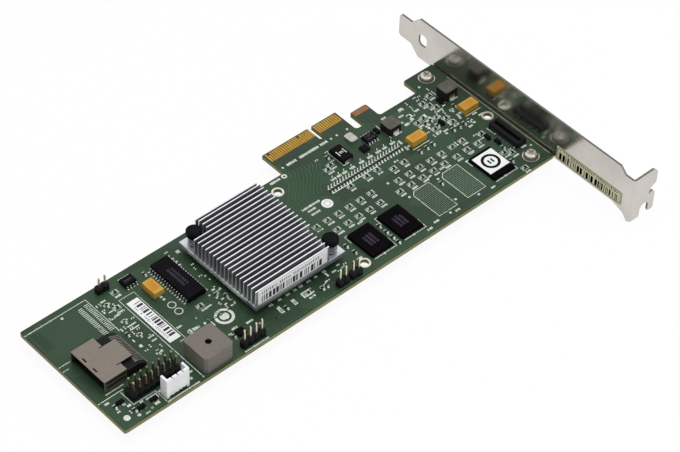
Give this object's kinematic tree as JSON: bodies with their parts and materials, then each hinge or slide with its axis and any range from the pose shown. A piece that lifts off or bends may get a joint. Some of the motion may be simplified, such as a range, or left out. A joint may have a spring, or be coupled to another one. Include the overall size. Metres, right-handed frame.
{
  "type": "raid controller card",
  "caption": "Storage controller card for an expansion slot, with finned heatsink, drive-cable socket, pin headers and a full-height slot bracket.",
  "frame": {"origin": "centre line of the key notch, at the tip of the edge contacts, on the board's component face", "axes": "+X along the card towards the slot bracket, +Y out of the edge connector, +Z out of the component side"},
  "size_m": [0.2101, 0.12, 0.0229],
  "materials": {
    "board_laminate": "green solder mask over fibreglass laminate",
    "gold_contacts": "gold-plated contact fingers",
    "copper_pad": "bare copper pad",
    "tinned_rings": "tinned ring pads",
    "bracket_steel": "plated sheet steel",
    "screw_steel": "plated steel",
    "sink_aluminium": "extruded and cut, plain",
    "pin_plastic": "moulded black plastic",
    "spring_steel": "spring wire",
    "processor_package": "moulded package",
    "thermal_pad": "soft grey pad",
    "memory_package": "moulded package, fine matt grain",
    "moulded_black": "moulded resin, matt",
    "tinned_leads": "tinned leads and solder",
    "header_plastic": "black glass-filled plastic",
    "header_brass": "pale gold-flashed square pins",
    "white_plastic": "white moulded plastic",
    "cage_metal": "satin plated sheet",
    "socket_plastic": "black moulded plastic",
    "socket_contacts": "tinned spring contacts",
    "buzzer_plastic": "moulded grey-brown plastic",
    "inductor_ferrite": "pressed ferrite, matt",
    "tantalum_resin": "moulded yellow resin",
    "can_metal": "bright metal can",
    "capacitor_ceramic": "fired ceramic",
    "resistor_black": "black glazed top",
    "label_paper": "printed label with plain bars",
    "bracket_label_paper": "printed label with plain bars",
    "sticker_paper": "round plain sticker"
  },
  "bodies": {
    "root": {"circuit_board": "board_laminate", "edge_contacts_front": "gold_contacts", "edge_contacts_back": "gold_contacts", "hook_tab_pad": "copper_pad", "plated_rings": "tinned_rings", "slot_bracket": "bracket_steel", "bracket_screws": "screw_steel", "heatsink": "sink_aluminium", "push_pins": "pin_plastic", "push_pin_springs": "spring_steel", "raid_processor": "processor_package", "thermal_pad": "thermal_pad", "memory_chip_1": "memory_package", "memory_chip_2": "memory_package", "memory_chip_3": "memory_package", "backup_memory": "moulded_black", "clock_chip": "moulded_black", "regulator": "moulded_black", "power_diode": "moulded_black", "square_chips": "moulded_black", "small_transistors": "moulded_black", "backup_memory_leads": "tinned_leads", "clock_chip_leads": "tinned_leads", "regulator_leads": "tinned_leads", "inductor_terminals": "tinned_leads", "tantalum_terminals": "tinned_leads", "power_diode_terminals": "tinned_leads", "small_transistor_leads": "tinned_leads", "white_shroud_pins": "tinned_leads", "buzzer_leads": "tinned_leads", "slotted_connector_contacts": "tinned_leads", "wide_header_base": "header_plastic", "fan_header_base": "header_plastic", "light_headers_base": "header_plastic", "jumper_header_base": "header_plastic", "wide_header_pins": "header_brass", "fan_header_pins": "header_brass", "light_headers_pins": "header_brass", "jumper_header_pins": "header_brass", "white_shroud": "white_plastic", "sas_cage": "cage_metal", "sas_housing": "socket_plastic", "slotted_connector": "socket_plastic", "sas_contacts": "socket_contacts", "buzzer": "buzzer_plastic", "inductor_1": "inductor_ferrite", "inductor_2": "inductor_ferrite", "tantalum_capacitor_1": "tantalum_resin", "tantalum_capacitor_2": "tantalum_resin", "tantalum_capacitor_3": "tantalum_resin", "power_transistor": "can_metal", "ceramic_capacitors": "capacitor_ceramic", "chip_resistors": "resistor_black", "board_label": "label_paper", "heatsink_label": "label_paper", "memory_label": "label_paper", "bracket_label": "bracket_label_paper", "inspection_sticker": "sticker_paper"}
  },
  "joints": []
}
